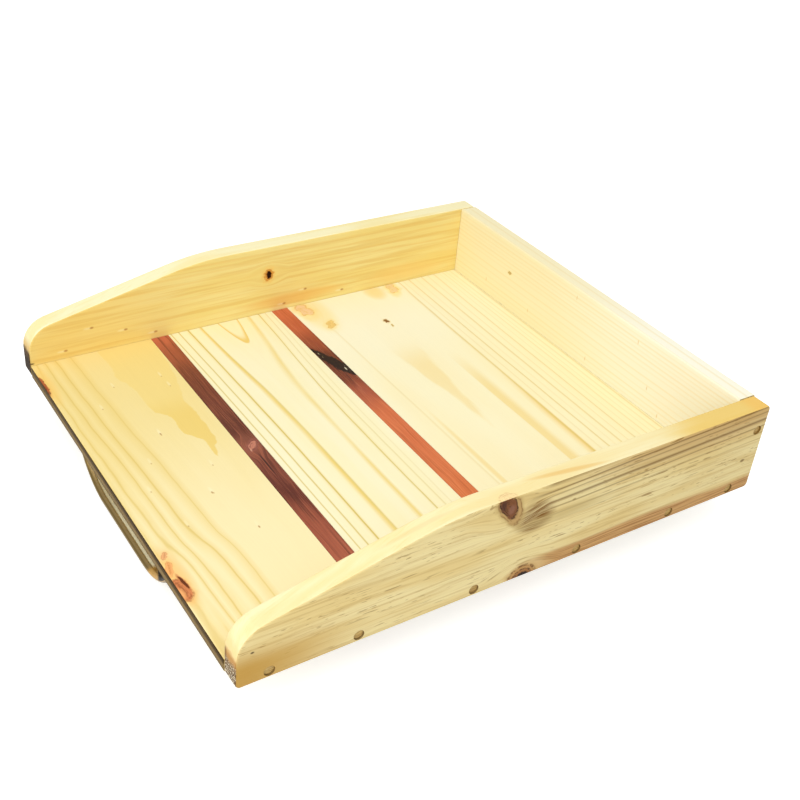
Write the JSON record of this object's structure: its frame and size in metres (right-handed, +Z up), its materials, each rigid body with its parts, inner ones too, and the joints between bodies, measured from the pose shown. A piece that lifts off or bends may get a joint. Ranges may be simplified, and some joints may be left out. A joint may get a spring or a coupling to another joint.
{
  "type": "open-fronted tray",
  "caption": "Open-fronted pine tray with scooped side panels, a low back wall, a plank floor with two inlaid cedar strips and a metal bow pull under its front edge.",
  "frame": {"origin": "under the middle of the tray, level with the lowest point of the pull", "axes": "-Y is the open front, +Y the back wall, +X the right side seen from the open front, +Z up; the boards' undersides are 38 mm above the origin"},
  "size_m": [0.464, 0.514, 0.127],
  "materials": {
    "pine": "clear-coated knotty pine",
    "pine_plug": "pine plugs over the screws",
    "red_cedar": "clear-coated red cedar",
    "screw_steel": "zinc-plated steel",
    "pull_metal": "polished metal"
  },
  "bodies": {
    "root": {"back_plug_left": "pine_plug", "back_plug_right": "pine_plug", "back_screw_left": "screw_steel", "back_screw_right": "screw_steel", "back_wall": "pine", "base_screw_1": "screw_steel", "base_screw_2": "screw_steel", "base_screw_3": "screw_steel", "floor_plug_left_1": "pine_plug", "floor_plug_left_2": "pine_plug", "floor_plug_left_3": "pine_plug", "floor_plug_left_4": "pine_plug", "floor_plug_left_5": "pine_plug", "floor_plug_left_6": "pine_plug", "floor_plug_right_1": "pine_plug", "floor_plug_right_2": "pine_plug", "floor_plug_right_3": "pine_plug", "floor_plug_right_4": "pine_plug", "floor_plug_right_5": "pine_plug", "floor_plug_right_6": "pine_plug", "floor_screw_left_1": "screw_steel", "floor_screw_left_2": "screw_steel", "floor_screw_left_3": "screw_steel", "floor_screw_left_4": "screw_steel", "floor_screw_left_5": "screw_steel", "floor_screw_left_6": "screw_steel", "floor_screw_right_1": "screw_steel", "floor_screw_right_2": "screw_steel", "floor_screw_right_3": "screw_steel", "floor_screw_right_4": "screw_steel", "floor_screw_right_5": "screw_steel", "floor_screw_right_6": "screw_steel", "front_cedar_strip": "red_cedar", "front_plank": "pine", "middle_plank": "pine", "pull_handle": "pull_metal", "pull_screw_left": "screw_steel", "pull_screw_right": "screw_steel", "rear_cedar_strip": "red_cedar", "rear_plank": "pine", "side_panel_left": "pine", "side_panel_right": "pine"}
  },
  "joints": []
}
